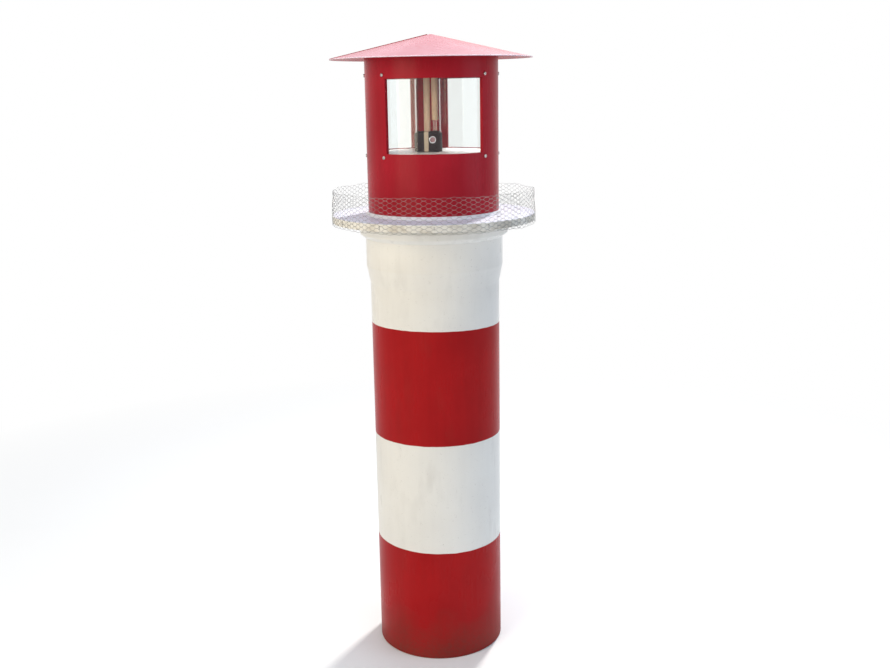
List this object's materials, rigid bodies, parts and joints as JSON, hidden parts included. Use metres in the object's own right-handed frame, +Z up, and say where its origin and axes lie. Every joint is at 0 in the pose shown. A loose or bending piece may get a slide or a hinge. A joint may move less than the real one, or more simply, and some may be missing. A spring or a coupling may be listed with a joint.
{
  "type": "garden lighthouse ornament",
  "caption": "Free-standing garden lighthouse made of drain pipe: banded tower, round gallery with wire netting, lantern with clear windows, shallow cone roof and a battery lamp inside.",
  "frame": {"origin": "middle of the tower's foot, on the ground", "axes": "+Z up along the tower, -Y towards the viewer of the picture and through the front window, +X to the viewer's right"},
  "size_m": [0.493, 0.493, 1.5209],
  "materials": {
    "tower_paint": "gloss paint on pipe; red bands from the foot to 0.28 m and from 0.56 to 0.84 m",
    "seal_rubber": "matte black rubber",
    "board_paint": "white gloss paint on board",
    "galvanised_wire": "dull galvanised",
    "staple_wire": "weathered steel",
    "lantern_paint": "red gloss paint on pipe",
    "sealant_white": "white sealant, smoothed by hand",
    "pane_clear": "clear acrylic sheet",
    "screw_steel": "bright steel",
    "floor_plastic": "white sheet",
    "roof_paint": "red gloss paint on sheet metal",
    "bracket_sheet": "red paint",
    "lamp_plastic": "dark grey satin plastic",
    "foot_rubber": "black rubber",
    "cell_jacket": "plain printed sleeve without text",
    "contact_metal": "nickel plated",
    "button_plastic": "dull pinkish plastic",
    "ring_chrome": "polished",
    "switch_plastic": "black",
    "circuit_green": "green laminate",
    "lamp_clear": "clear glass",
    "tube_frosted": "frosted, warm white",
    "led_strip": "yellowish phosphor strip"
  },
  "bodies": {
    "lighthouse": {"tower_pipe": "tower_paint", "socket_seal_ring": "seal_rubber", "gallery_board": "board_paint", "railing_netting": "galvanised_wire", "netting_staples": "staple_wire", "lantern_pipe": "lantern_paint", "lantern_foot_bead": "sealant_white", "window_pane_front": "pane_clear", "window_pane_left": "pane_clear", "window_pane_right": "pane_clear", "pane_screws": "screw_steel", "pane_washers": "screw_steel", "pane_nuts": "screw_steel", "lantern_floor": "floor_plastic", "lamp_base": "lamp_plastic", "lamp_battery_cover": "lamp_plastic", "lamp_cover_screws": "screw_steel", "lamp_feet": "foot_rubber", "lamp_batteries": "cell_jacket", "lamp_battery_contacts": "contact_metal", "lamp_button_ring": "ring_chrome", "lamp_switch": "switch_plastic", "lamp_circuit_board": "circuit_green", "lamp_top_plate": "lamp_plastic", "lamp_glass": "lamp_clear", "lamp_tube_tall": "tube_frosted", "lamp_tube_short": "tube_frosted", "lamp_led_strips": "led_strip", "lamp_leads": "contact_metal", "lamp_top_cap": "lamp_plastic"},
    "roof": {"roof_cone": "roof_paint", "roof_brackets": "bracket_sheet"},
    "button": {"lamp_button": "button_plastic"}
  },
  "joints": [
    {"name": "roof_lift", "type": "slide", "parent": "lighthouse", "child": "roof", "axis": [0, 0, 1], "range_m": [0, 0.12]},
    {"name": "lamp_button_press", "type": "slide", "parent": "lighthouse", "child": "button", "axis": [-0.2924, 0.9563, 0], "range_m": [0, 0.0015], "stiffness_N_per_m": 400, "springref_m": -0.0005}
  ]
}
